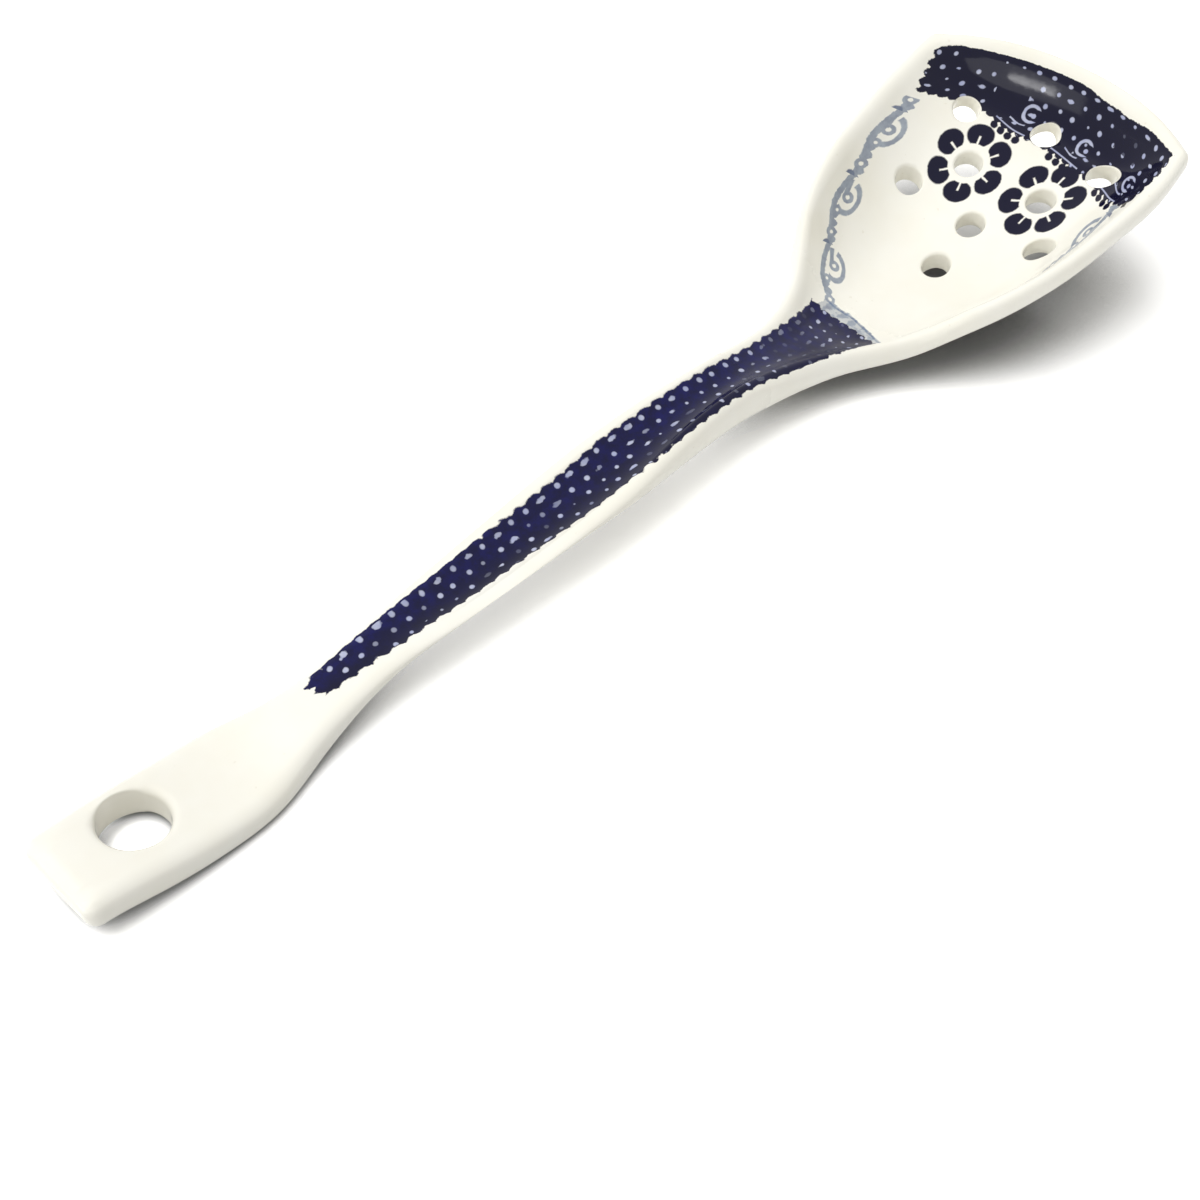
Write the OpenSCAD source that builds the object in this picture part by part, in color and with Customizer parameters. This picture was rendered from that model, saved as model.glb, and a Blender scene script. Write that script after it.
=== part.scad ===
// Slotted serving spoon, shaped from one body of glazed stoneware.
// x runs from the end of the grip to the front of the bowl, z is up from the table, all in millimetres.
// The body is drawn in four regions that meet face to face on flat planes across the handle.

/* [Grip] */
// Length of the grip, from its end to the waist
grip_len = 74; // [60:1:90]
// Width of the grip at its end
grip_end_w = 22.6; // [19:0.2:30]
// Greatest width of the grip
grip_w = 25; // [22:0.2:32]
// Distance of the greatest width from the end of the grip
grip_bulge_x = 27; // [20:1:34]
// Thickness of the grip at its end
grip_t = 8; // [7:0.2:11]
// Height of the underside of the grip's end above the table
grip_lift = 3; // [1:0.2:6]
// Height of the underside's edges over its middle at the grip's end
grip_tuck = 1; // [0.4:0.2:2.4]
// Thickness of the grip where it is thinnest, ahead of the hanging hole
grip_thin_t = 6.2; // [5:0.2:9]
// Distance from the end of the grip to where its underside comes down to the table
grip_rest_x = 34; // [30:1:38]
// Distance from the end of the grip to where its underside leaves the table
grip_flat_x = 50; // [44:1:56]

/* [Hanging hole] */
// Radius of the hanging hole
hang_r = 7; // [5:0.2:7.4]
// Distance of the hanging hole's centre from the end of the grip
hang_x = 18.2; // [14:0.2:22]
// Distance of the hanging hole's centre from the middle of the grip, to the +y side
hang_y = 2; // [0:0.2:2.2]
// Radius of the rounded edges of the hanging hole
hang_round_r = 1.4; // [0.5:0.1:2]

/* [Waist and shank] */
// Width of the waist, where the grip meets the shank
waist_w = 13.4; // [11:0.2:17]
// Height of the edges of the waist above the table
waist_top = 11; // [9:0.2:14]
// Height of the middle of the waist's underside above the table
waist_under = 5; // [2:0.2:6]
// Length of the shank, from the waist to the neck
shank_len = 112; // [90:1:140]
// Greatest width of the shank
shank_w = 20.2; // [16:0.2:26]
// Height of the edges of the shank at its crest
crest_top = 20; // [15:0.2:26]
// Height of the middle of the shank's underside at its crest
crest_under = 9.2; // [7:0.2:13]
// Depth of the groove along the top of the shank
groove_depth = 2; // [1:0.1:3]
// Height of the underside's edges over its middle
tuck = 2.4; // [1:0.1:3]

/* [Neck] */
// Length of the neck, from the shank to the mouth of the bowl
neck_len = 36; // [28:1:46]
// Width where the neck meets the shank
neck_w = 17; // [14:0.2:22]
// Width of the neck at the mouth of the bowl
mouth_w = 36.8; // [32:0.2:42]
// Height of the edges at the mouth of the bowl
mouth_top = 14.2; // [12:0.2:18]
// Height of the middle of the floor at the mouth of the bowl
mouth_floor = 6.6; // [6.2:0.2:9]
// Thickness of the floor at the mouth of the bowl
mouth_t = 5.6; // [5:0.1:6]

/* [Bowl] */
// Length of the bowl, from its mouth to the middle of its front edge
bowl_len = 88; // [76:1:100]
// Greatest width of the bowl
bowl_w = 79.2; // [68:0.2:90]
// Width of the bowl between its front corners
front_w = 77; // [64:0.2:88]
// How far the middle of the front edge stands ahead of the corners
front_bow = 9.5; // [5:0.5:16]
// Height of the front edge above the table
front_top = 40; // [32:0.5:46]
// Height of the front corners above the table
corner_top = 38; // [30:0.2:44]
// Distance of the lowest point of the bowl from its mouth
floor_x = 23; // [18:1:30]
// Wall thickness of the bowl at its lowest point
wall_t = 4.9; // [4:0.1:6.5]
// Height of the rounded rim
rim_h = 7; // [5:0.2:8]
// Radius of the rounded edges, seen from above
edge_r = 2.8; // [2:0.1:3.4]

/* [Drain holes] */
// Radius of a drain hole
drain_r = 3.5; // [2.5:0.1:4.2]
// Place of the single rear hole, as a share of the bowl's length
drain_rear_share = 0.41; // [0.38:0.005:0.43]
// Place of the row of three, as a share of the bowl's length
drain_three_share = 0.555; // [0.54:0.005:0.57]
// Side spacing of the row of three
drain_three_y = 20.2; // [16:0.2:22]
// Place of the pair, as a share of the bowl's length
drain_pair_share = 0.695; // [0.68:0.005:0.71]
// Side spacing of the pair from the middle
drain_pair_y = 11.2; // [9:0.1:13]
// Place of the outer front holes, as a share of the bowl's length
drain_front_share = 0.81; // [0.79:0.005:0.82]
// Side spacing of the outer front holes
drain_front_y = 20.8; // [18:0.2:24]
// Place of the middle front hole, as a share of the bowl's length
drain_mid_share = 0.87; // [0.85:0.005:0.88]

/* [Hidden] */

glaze_colour = [0.93, 0.92, 0.87];
cobalt_colour = [0.15, 0.15, 0.36];

// Places along the spoon, from the end of the grip
waist_x = grip_len;
neck_x = waist_x + shank_len;
mouth_x = neck_x + neck_len;
spoon_len = mouth_x + bowl_len;
corner_x = spoon_len - front_bow;

// The body stands on its bounding box's bottom centre
origin_x = spoon_len / 2;

// How each outline goes between its named sizes: share of the distance, share of the rise
grip_flare_shares = [[0.29, 0.07], [0.62, 0.76]];
shank_swell_shares = [[0.32, 0.36], [0.64, 0.7]];
shank_swell_share = 0.55;
neck_flare_shares = [[0.33, 0.12], [0.64, 0.38], [0.86, 0.74]];
bowl_flare_shares = [[0.06, 0.13], [0.25, 0.51], [0.48, 0.79], [0.76, 0.94]];
bowl_widest_share = 0.86;
grip_thin_share = 0.58;
shank_rise_shares = [[0.33, 0.17], [0.6, 0.5]];
crest_share = 0.85;
neck_dip_shares = [[0.25, 0.12], [0.62, 0.75]];
rim_rise_shares = [[0.18, 0.24], [0.42, 0.48], [0.68, 0.7], [0.9, 0.89]];
groove_start_share = 0.8;
groove_full_share = 0.3;
neck_floor_shares = [[0.35, 0.28], [0.7, 0.64]];
floor_dip_share = 0.82;
grip_drop_shares = [[0.5, 0.7]];
front_rise_shares = [[0.18, 0.03], [0.4, 0.2], [0.58, 0.35], [0.82, 0.55], [0.92, 0.62]];

// Steepness of the hollow from its middle to its sides
dish_power = 3.4;
groove_power = 2;
bow_power = 1.6;
edge_power = 0.8;

// Steps of the mesh
step_len = 4;
across = 12;
round_steps = 8;
fan_steps = 5;
cut_over = 2;
flare_steps = 5;
flare_angle = 75;

// A smooth curve through stations [place, value]
function last(s) = len(s) - 1;
function chord(s, i) = (s[i + 1][1] - s[i][1]) / (s[i + 1][0] - s[i][0]);
function station_slope(s, i) =
    i == 0 ? 0
    : i == last(s) ? chord(s, i - 1)
    : let (before = s[i][0] - s[i - 1][0], after = s[i + 1][0] - s[i][0])
        (chord(s, i - 1) * after + chord(s, i) * before) / (before + after);
function segment_of(s, x, i = 0) =
    i >= last(s) - 1 || x < s[i + 1][0] ? i : segment_of(s, x, i + 1);
function curve(s, x) =
    let (i = segment_of(s, x), h = s[i + 1][0] - s[i][0])
    let (t = (x - s[i][0]) / h, m0 = station_slope(s, i) * h, m1 = station_slope(s, i + 1) * h)
    s[i][1] * (2 * t ^ 3 - 3 * t ^ 2 + 1) + m0 * (t ^ 3 - 2 * t ^ 2 + t)
        + s[i + 1][1] * (3 * t ^ 2 - 2 * t ^ 3) + m1 * (t ^ 3 - t ^ 2);

// Stations that lie between two named ones, from shares of the way and of the rise
function between(a, b, shares) =
    [for (s = shares) [a[0] + (b[0] - a[0]) * s[0], a[1] + (b[1] - a[1]) * s[1]]];

// Half width of the outline
bulge = [grip_bulge_x, grip_w / 2];
waist = [waist_x, waist_w / 2];
swell = [waist_x + shank_len * shank_swell_share, shank_w / 2];
neck = [neck_x, neck_w / 2];
mouth = [mouth_x, mouth_w / 2];
widest = [mouth_x + (corner_x - mouth_x) * bowl_widest_share, bowl_w / 2];
width_stations = concat(
    [[0, grip_end_w / 2], bulge], between(bulge, waist, grip_flare_shares),
    [waist], between(waist, swell, shank_swell_shares),
    [swell, neck], between(neck, mouth, neck_flare_shares),
    [mouth], between(mouth, widest, bowl_flare_shares),
    [widest, [corner_x, front_w / 2]]);
function half_width(x) = curve(width_stations, x);

// Height of the top edge along both sides
thin = [grip_len * grip_thin_share, grip_thin_t];
waist_edge = [waist_x, waist_top];
crest = [waist_x + shank_len * crest_share, crest_top];
mouth_edge = [mouth_x, mouth_top];
corner_edge = [corner_x - edge_r, corner_top];
edge_stations = concat(
    [[0, grip_lift + grip_t], thin, waist_edge], between(waist_edge, crest, shank_rise_shares),
    [crest], between(crest, mouth_edge, neck_dip_shares),
    [mouth_edge], between(mouth_edge, corner_edge, rim_rise_shares),
    [corner_edge]);
function edge_top(x) = curve(edge_stations, x);

// Depth of the hollow below the edges, up to the neck
groove_stations = [
    [grip_len * groove_start_share, 0],
    [waist_x + shank_len * groove_full_share, groove_depth],
    [neck_x, groove_depth]];
neck_floor = [neck_x, edge_top(neck_x) - groove_depth];
mouth_mid = [mouth_x, mouth_floor];
floor_low = [mouth_x + floor_x, wall_t];
floor_stations = concat(
    [[waist_x, edge_top(waist_x)], neck_floor], between(neck_floor, mouth_mid, neck_floor_shares),
    [mouth_mid], between(mouth_mid, floor_low, [[0.5, floor_dip_share]]), [floor_low]);

// Height of the middle of the top, from the grip to the front edge
front_mid = [spoon_len - edge_r, front_top];
ramp_stations = concat([floor_low], between(floor_low, front_mid, front_rise_shares), [front_mid]);
function middle_top(x) =
    x <= groove_stations[0][0] ? edge_top(x)
    : x <= neck_x ? edge_top(x) - curve(groove_stations, x)
    : x <= floor_low[0] ? curve(floor_stations, x)
    : curve(ramp_stations, x);

// Height of the middle of the underside
lifted = [0, grip_lift];
rest = [grip_rest_x, 0];
under_stations = concat(
    [lifted], between(lifted, rest, grip_drop_shares),
    [rest, [grip_flat_x, 0], [waist_x, waist_under], [crest[0], crest_under],
    [mouth_x, mouth_floor - mouth_t], floor_low - [0, wall_t]]);
wall_stations = [floor_low, [front_mid[0], rim_h]];
function middle_under(x) =
    x <= floor_low[0] ? max(0, curve(under_stations, x))
    : max(0, middle_top(x) - curve(wall_stations, x));

// Height of the edge of the underside
tuck_stations = [
    [0, grip_tuck], rest, [grip_flat_x, 0], [waist_x, tuck], [neck_x, tuck],
    [mouth_x, mouth_top - rim_h - mouth_floor + mouth_t]];
function edge_under(x) =
    x <= mouth_x ? middle_under(x) + max(0, curve(tuck_stations, x)) : edge_top(x) - rim_h;

// The hollow is a soft groove on the shank and a dish with steep sides in the bowl
function dish_share(x) = min(1, max(0, (x - neck_x) / neck_len));
function hollow_power(x) = groove_power + (dish_power - groove_power) * dish_share(x);

// Lines across the bowl bow forward, more and more towards the front edge
function bow(x) = x <= mouth_x ? 0 : front_bow * ((x - mouth_x) / (corner_x - edge_r - mouth_x)) ^ bow_power;

// Width of the rounded edge along y, so that it is edge_r square to the outline
function edge_y(x) =
    let (slope = (half_width(x + edge_r / 2) - half_width(x - edge_r / 2)) / edge_r)
    edge_r * sqrt(1 + (x < edge_r ? 0 : slope ^ 2));
function inner_half(x) = half_width(x) - edge_y(min(x, corner_x - edge_r));

// One point of the top, or of the underside, at side place x and share v across
function top_point(x, v) =
    let (mid = middle_top(x + bow(x)))
    [x + bow(x) * (1 - v ^ 2), v * inner_half(x), mid + (edge_top(x) - mid) * abs(v) ^ hollow_power(x)];
function under_point(x, v) =
    let (mid = middle_under(x + bow(x)))
    [x + bow(x) * (1 - v ^ 2), v * inner_half(x), mid + (edge_under(x) - mid) * abs(v) ^ hollow_power(x)];

// Rounded edge: from the top point to the underside point, along a normal n seen from above
function rounded(c) = sign(c) * abs(c) ^ edge_power;
function edge_point(top, under, n, r, j) =
    let (phi = 90 - 180 * j / round_steps)
    (top + under) / 2 + (top - under) / 2 * rounded(sin(phi)) + [n[0], n[1], 0] * r * rounded(cos(phi));

// Columns of the rounded edge, as [line, place across, normal, radius], from +y round the end to -y
function side_columns(xs, side, from, to, step) =
    [for (i = [from : step : to]) [i, side, [0, side > 0 ? 1 : -1], edge_y(xs[i])]];
function fan(i, j, a, b, r0, r1) =
    [for (k = [1 : fan_steps - 1]) let (s = k / fan_steps, t = a + (b - a) * s)
        [i, j, [cos(t), sin(t)], r0 + (r1 - r0) * s]];
function front_angle(v) = atan2(2 * front_bow * v, front_w / 2);

// A region between two flat faces, or between a flat face and a rounded end
module region(xs, end_sign) {
    n = len(xs) - 1;
    row = across + 1;
    grid = [for (x = xs) for (j = [0 : across]) top_point(x, 2 * j / across - 1)];
    lower = [for (x = xs) for (j = [0 : across]) under_point(x, 2 * j / across - 1)];
    e = end_sign > 0 ? n : 0;
    function end_angle(v) = end_sign > 0 ? front_angle(v) : 180;
    r_side = edge_y(xs[e]);
    end_line = [for (j = [across : -1 : 0])
        let (a = end_angle(2 * j / across - 1))
        [e, j, [cos(a), sin(a)], edge_r]];
    cols = concat(
        side_columns(xs, across, n - e, e, end_sign),
        fan(e, across, 90, end_angle(1), r_side, edge_r),
        end_line,
        fan(e, 0, end_angle(-1), end_sign > 0 ? -90 : 270, edge_r, r_side),
        side_columns(xs, 0, e, n - e, -end_sign));
    solid_of(grid, lower, cols, n, row, end_sign, false);
}

// A region between two flat faces
module span(xs) {
    n = len(xs) - 1;
    row = across + 1;
    grid = [for (x = xs) for (j = [0 : across]) top_point(x, 2 * j / across - 1)];
    lower = [for (x = xs) for (j = [0 : across]) under_point(x, 2 * j / across - 1)];
    solid_of(grid, lower, side_columns(xs, across, 0, n, 1), n, row, 1, true);
}

// Joins the top, the underside and the rounded edges into one closed surface
module solid_of(grid, lower, cols, n, row, end_sign, two_sided) {
    count = len(grid);
    inner = round_steps - 1;
    cols_all = two_sided
        ? concat(cols, [for (i = [len(cols) - 1 : -1 : 0]) [cols[i][0], 0, [0, -1], cols[i][3]]])
        : cols;
    function at(c, j) =
        let (k = cols_all[c][0] * row + cols_all[c][1])
        j == 0 ? k : j == round_steps ? count + k : 2 * count + c * inner + j - 1;
    edge = [for (c = cols_all) let (k = c[0] * row + c[1])
        for (j = [1 : inner]) edge_point(grid[k], lower[k], c[2], c[3], j)];
    last_col = len(cols_all) - 1;
    half = len(cols) - 1;
    top_faces = [for (i = [0 : n - 1]) for (j = [0 : row - 2]) let (k = i * row + j)
        each [[k, k + row, k + row + 1], [k, k + row + 1, k + 1]]];
    lower_faces = [for (f = top_faces) [f[0] + count, f[2] + count, f[1] + count]];
    strip = [for (c = [0 : last_col - 1]) if (!two_sided || c != half)
        for (j = [0 : round_steps - 1])
        each [
            if (at(c, j) != at(c + 1, j)) [at(c, j), at(c + 1, j), at(c + 1, j + 1)],
            if (at(c, j + 1) != at(c + 1, j + 1)) [at(c, j), at(c + 1, j + 1), at(c, j + 1)]]];
    // Flat faces across the handle, as one polygon each
    first_line = cols_all[0][0] * row;
    ring_first = concat(
        [for (j = [0 : round_steps]) at(0, j)],
        [for (j = [row - 2 : -1 : 1]) count + first_line + j],
        [for (j = [round_steps : -1 : 0]) at(last_col, j)],
        [for (j = [1 : row - 2]) first_line + j]);
    second_line = n * row;
    ring_second = !two_sided ? [] : concat(
        [for (j = [0 : round_steps]) at(half, j)],
        [for (j = [row - 2 : -1 : 1]) count + second_line + j],
        [for (j = [round_steps : -1 : 0]) at(half + 1, j)],
        [for (j = [1 : row - 2]) second_line + j]);
    function turned(f) = [for (i = [len(f) - 1 : -1 : 0]) f[i]];
    // Faces run clockwise seen from outside
    faces = concat(
        [for (f = top_faces) turned(f)],
        [for (f = lower_faces) turned(f)],
        end_sign > 0 ? [for (f = strip) turned(f)] : strip,
        [end_sign > 0 ? turned(ring_first) : ring_first],
        two_sided ? [ring_second] : []);
    translate([-origin_x, 0, 0])
        polyhedron(concat(grid, lower, edge), faces, convexity = 6);
}

// Evenly spaced lines between two places
function lines(a, b) =
    let (n = ceil((b - a) / step_len))
    [for (i = [0 : n]) a + (b - a) * i / n];

// Grip: a flat paddle with the hanging hole, its edges rounded
module grip() {
    color(glaze_colour)
        difference() {
            region(lines(edge_r, waist_x), -1);
            translate([hang_x - origin_x, hang_y, hang_mid_z])
                rotate([0, hang_tilt, 0])
                    hanging_hole();
        }
}

// The hanging hole stands square to the sloping grip
function grip_mid(x) = (edge_top(x) + middle_under(x)) / 2;
hang_mid_z = grip_mid(hang_x);
hang_tilt = atan((grip_mid(hang_x - hang_r) - grip_mid(hang_x + hang_r)) / (2 * hang_r));
hang_t = (edge_top(hang_x) - middle_under(hang_x)) * cos(hang_tilt);

// Hanging hole: a straight bore whose edges are rounded at the top and the underside
module hanging_hole() {
    cylinder(h = hang_t + 2 * cut_over, r = hang_r, center = true, $fn = 64);
    translate([0, 0, -hang_t / 2])
        hole_flare();
    translate([0, 0, hang_t / 2])
        mirror([0, 0, 1])
            hole_flare();
}

// Rounding of the hole's edge at z = 0, opening downwards
module hole_flare() {
    arc = [for (k = [0 : flare_steps]) let (t = flare_angle * k / flare_steps)
        [hang_r + hang_round_r * (1 - cos(t)), hang_round_r * (1 - sin(t))]];
    rotate_extrude($fn = 64)
        polygon(concat([[0, hang_round_r]], arc, [[arc[flare_steps][0], -cut_over], [0, -cut_over]]));
}

module shank() {
    color(cobalt_colour)
        span(lines(waist_x, neck_x));
}

module neck() {
    color(cobalt_colour)
        span(lines(neck_x, mouth_x));
}

// Places of the drain holes, as [share of the bowl's length, side place]
drain_places = [
    [drain_rear_share, 0],
    [drain_three_share, drain_three_y], [drain_three_share, 0], [drain_three_share, -drain_three_y],
    [drain_pair_share, drain_pair_y], [drain_pair_share, -drain_pair_y],
    [drain_front_share, drain_front_y], [drain_mid_share, 0], [drain_front_share, -drain_front_y]];

// Bowl: a shovel-shaped dish whose front rises, with drain holes straight down through it
module bowl() {
    color(glaze_colour)
        difference() {
            region(lines(mouth_x, corner_x - edge_r), 1);
            for (p = drain_places)
                translate([mouth_x + bowl_len * p[0] - origin_x, p[1], -cut_over])
                    cylinder(h = front_top + 2 * cut_over, r = drain_r, $fn = 48);
        }
}

grip();
shank();
neck();
bowl();
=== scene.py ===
import math

import bpy
import numpy as np
from mathutils import Matrix, Quaternion, Vector


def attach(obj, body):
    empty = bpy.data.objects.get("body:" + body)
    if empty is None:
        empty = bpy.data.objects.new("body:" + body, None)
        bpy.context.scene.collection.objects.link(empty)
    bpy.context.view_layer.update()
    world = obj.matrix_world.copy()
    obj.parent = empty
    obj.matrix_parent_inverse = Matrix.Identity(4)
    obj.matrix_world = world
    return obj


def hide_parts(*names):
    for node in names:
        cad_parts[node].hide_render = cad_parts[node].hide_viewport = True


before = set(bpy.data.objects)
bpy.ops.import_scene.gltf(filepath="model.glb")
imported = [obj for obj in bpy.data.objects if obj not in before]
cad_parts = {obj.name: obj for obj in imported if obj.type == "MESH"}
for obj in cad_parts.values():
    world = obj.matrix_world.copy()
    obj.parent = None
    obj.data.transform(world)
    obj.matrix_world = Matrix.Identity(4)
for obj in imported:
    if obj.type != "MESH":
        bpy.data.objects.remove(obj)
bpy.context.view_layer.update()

# A slotted serving spoon of glazed stoneware. Its skin is made as one closed mesh, in millimetres and with x
# counted from the end of the grip. The skin is then cut into the part's four pieces, in metres in the shared
# frame, and one procedural material paints them all.

# Sizes in millimetres, as in the CAD source
MM = 0.001
GRIP_LEN, SHANK_LEN, NECK_LEN, BOWL_LEN = 74.0, 112.0, 36.0, 88.0
WAIST_X = GRIP_LEN
NECK_X = WAIST_X + SHANK_LEN
MOUTH_X = NECK_X + NECK_LEN
SPOON_LEN = MOUTH_X + BOWL_LEN
ORIGIN_X = SPOON_LEN / 2
FRONT_W, FRONT_TOP = 77.0, 40.0
FRONT_BOW = 9.5  # how far the front edge stands out in the middle
CORNER_X = SPOON_LEN - FRONT_BOW
MOUTH_TOP, MOUTH_UNDER = 14.2, 1.0  # heights of the edge and of the underside at the mouth of the bowl
EDGE_R = 2.8  # how far the rounded rim stands out from the two faces
RIM_H = 7.0
FLOOR_T, FLOOR_LOW_X = 4.9, MOUTH_X + 23  # the bowl's floor at its lowest place
GROOVE_START, GROOVE_DEPTH = GRIP_LEN * 0.8, 2.0
GROOVE_POWER, DISH_POWER = 2.0, 3.4  # shape of the hollow across the handle and across the bowl
BOW_POWER = 1.6  # how the bow of the front edge dies out towards the mouth
EDGE_POWER = 0.8  # below 1, the rim's section is fuller than a half round
HANG_X, HANG_Y, HANG_R = 18.2, 2.0, 7.0
DRAIN_R = 3.5
PAIR_SHARE, PAIR_Y = 0.695, 11.2  # the two drain holes with rosettes
# share of the bowl's length, place across, and lean in degrees
DRAINS = [(0.41, 0, 0), (0.555, 20.2, 8), (0.555, 0, 12), (0.555, -20.2, 12),
          (PAIR_SHARE, PAIR_Y, 18), (PAIR_SHARE, -PAIR_Y, 18), (0.81, 20.8, 28), (0.87, 0, 28), (0.81, -20.8, 28)]
FIRST_X, LAST_X = EDGE_R, CORNER_X - EDGE_R
EDGE_SOFT, MIDDLE_SOFT = 2.0, 1.3  # how far the corners of the outline curves are rounded


# Outline curves
def hermite(stations):
    """A curve through stations, with no slope at the first one."""
    x, y = np.array(stations, float).T
    h = np.diff(x)
    c = np.diff(y) / h
    m = np.empty(len(x))
    m[0], m[-1] = 0, c[-1]
    m[1:-1] = (c[:-1] * h[1:] + c[1:] * h[:-1]) / (h[:-1] + h[1:])

    def f(q):
        i = np.clip(np.searchsorted(x, q, side="right") - 1, 0, len(x) - 2)
        w = x[i + 1] - x[i]
        t = (q - x[i]) / w
        return (y[i] * (2 * t**3 - 3 * t**2 + 1) + m[i] * w * (t**3 - 2 * t**2 + t)
                + y[i + 1] * (3 * t**2 - 2 * t**3) + m[i + 1] * w * (t**3 - t**2))
    return f


def between(a, b, shares):
    """Stations between a and b, each at a share of the way in x and in height."""
    return [(a[0] + (b[0] - a[0]) * u, a[1] + (b[1] - a[1]) * v) for u, v in shares]


def softened(f, lo, hi, sigma):
    """The same curve with its corners rounded over about sigma millimetres."""
    step, pad, run = 0.2, 14.0, 0.5
    x = np.arange(lo - pad, hi + pad, step)
    y = f(np.clip(x, lo, hi))
    # past its ends the curve goes straight on, at its slope over the last run
    y = y + np.where(x < lo, (x - lo) * (f(np.array([lo + run])) - f(np.array([lo])))[0] / run, 0)
    y = y + np.where(x > hi, (x - hi) * (f(np.array([hi])) - f(np.array([hi - run])))[0] / run, 0)
    k = np.arange(-int(4 * sigma / step), int(4 * sigma / step) + 1) * step
    w = np.exp(-0.5 * (k / sigma) ** 2)
    w /= w.sum()
    n = len(k) // 2
    y = np.convolve(np.pad(y, n, mode="edge"), w, mode="valid")
    return lambda q: np.interp(q, x, y)


# half the width, along the spoon
bulge, waist = (27, 12.5), (WAIST_X, 6.7)
swell, neck = (WAIST_X + SHANK_LEN * 0.55, 10.1), (NECK_X, 8.5)
mouth, widest = (MOUTH_X, 18.4), (MOUTH_X + (CORNER_X - MOUTH_X) * 0.86, 39.6)
half_width = softened(hermite(
    [(0, 11.3), bulge] + between(bulge, waist, [(0.29, 0.07), (0.62, 0.76)])
    + [waist] + between(waist, swell, [(0.32, 0.36), (0.64, 0.7)])
    + [swell, neck] + between(neck, mouth, [(0.33, 0.12), (0.64, 0.38), (0.86, 0.74)])
    + [mouth] + between(mouth, widest, [(0.06, 0.13), (0.25, 0.51), (0.48, 0.79), (0.76, 0.94)])
    + [widest, (CORNER_X, FRONT_W / 2)]), 0, CORNER_X, EDGE_SOFT)

# heights: of the side edge, of the middle of the top, and of the underside
thin, waist_edge = (GRIP_LEN * 0.58, 6.2), (WAIST_X, 11.0)
crest = (WAIST_X + SHANK_LEN * 0.85, 20.0)
mouth_edge, corner_edge = (MOUTH_X, MOUTH_TOP), (LAST_X, 38.0)
edge_curve = hermite(
    [(0, 11.0), thin, waist_edge] + between(waist_edge, crest, [(0.33, 0.17), (0.6, 0.5)])
    + [crest] + between(crest, mouth_edge, [(0.25, 0.12), (0.62, 0.75)])
    + [mouth_edge] + between(mouth_edge, corner_edge, [(0.18, 0.24), (0.42, 0.48), (0.68, 0.7), (0.9, 0.89)])
    + [corner_edge])
groove_curve = hermite([(GROOVE_START, 0), (WAIST_X + SHANK_LEN * 0.3, GROOVE_DEPTH), (NECK_X, GROOVE_DEPTH)])
neck_floor = (NECK_X, float(edge_curve(np.array([NECK_X]))[0]) - GROOVE_DEPTH)
mouth_mid, floor_low = (MOUTH_X, 6.6), (FLOOR_LOW_X, FLOOR_T)
floor_curve = hermite(
    [(WAIST_X, float(edge_curve(np.array([WAIST_X]))[0])), neck_floor]
    + between(neck_floor, mouth_mid, [(0.35, 0.28), (0.7, 0.64)])
    + [mouth_mid] + between(mouth_mid, floor_low, [(0.5, 0.82)]) + [floor_low])
front_mid = (SPOON_LEN - EDGE_R, FRONT_TOP)
ramp_curve = hermite([floor_low] + between(
    floor_low, front_mid, [(0.18, 0.03), (0.4, 0.2), (0.58, 0.35), (0.82, 0.55), (0.92, 0.62)]) + [front_mid])
under_curve = hermite([(0, 3.0), (17, 0.9), (34, 0), (50, 0), (WAIST_X, 5.0), (crest[0], 9.2),
                       (MOUTH_X, MOUTH_UNDER), (FLOOR_LOW_X, 0)])
wall_curve = hermite([floor_low, (front_mid[0], RIM_H)])
# how much higher the underside is at its side edges than in the middle
tuck_curve = hermite([(0, 1.0), (34, 0), (50, 0), (WAIST_X, 2.4), (NECK_X, 2.4),
                      (MOUTH_X, MOUTH_TOP - RIM_H - MOUTH_UNDER)])


def middle_top_raw(x):
    return np.where(x <= GROOVE_START, edge_curve(x),
                    np.where(x <= NECK_X, edge_curve(x) - groove_curve(np.clip(x, GROOVE_START, NECK_X)),
                             np.where(x <= FLOOR_LOW_X, floor_curve(x), ramp_curve(x))))


def middle_under_raw(x):
    return np.where(x <= FLOOR_LOW_X, np.maximum(0, under_curve(x)),
                    np.maximum(0, middle_top_raw(x) - wall_curve(x)))


def edge_under_raw(x):
    return np.where(x <= MOUTH_X, middle_under_raw(x) + np.maximum(0, tuck_curve(x)), edge_curve(x) - RIM_H)


edge_top = softened(edge_curve, 0, LAST_X, EDGE_SOFT)
middle_top = softened(middle_top_raw, 0, front_mid[0], MIDDLE_SOFT)
middle_under = softened(middle_under_raw, 0, front_mid[0], MIDDLE_SOFT)
edge_under = softened(edge_under_raw, 0, LAST_X, EDGE_SOFT)


def hollow_power(x):
    """Shape of the hollow across the spoon, from the groove's to the dish's along the neck."""
    return GROOVE_POWER + (DISH_POWER - GROOVE_POWER) * np.clip((x - NECK_X) / NECK_LEN, 0, 1)


def bow(x):
    """How far the middle of the line at x stands out past its ends."""
    return FRONT_BOW * np.clip((x - MOUTH_X) / (LAST_X - MOUTH_X), 0, 1) ** BOW_POWER


def edge_y(x):
    """How far the rim takes up of the half width, more where the outline slopes."""
    slope = (half_width(x + EDGE_R / 2) - half_width(x - EDGE_R / 2)) / EDGE_R
    return EDGE_R * np.sqrt(1 + np.where(x < EDGE_R, 0, slope**2))


def inner_half(x):
    return half_width(x) - edge_y(np.minimum(x, LAST_X))


def surface(x, v, middle, edge):
    """Points of a face at line x and share v across, from -1 to 1."""
    b = bow(x)
    mid = middle(x + b)
    return np.stack([x + b * (1 - v**2), v * inner_half(x),
                     mid + (edge(x) - mid) * np.abs(v) ** hollow_power(x)], -1)


def top_point(x, v):
    return surface(x, v, middle_top, edge_top)


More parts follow.
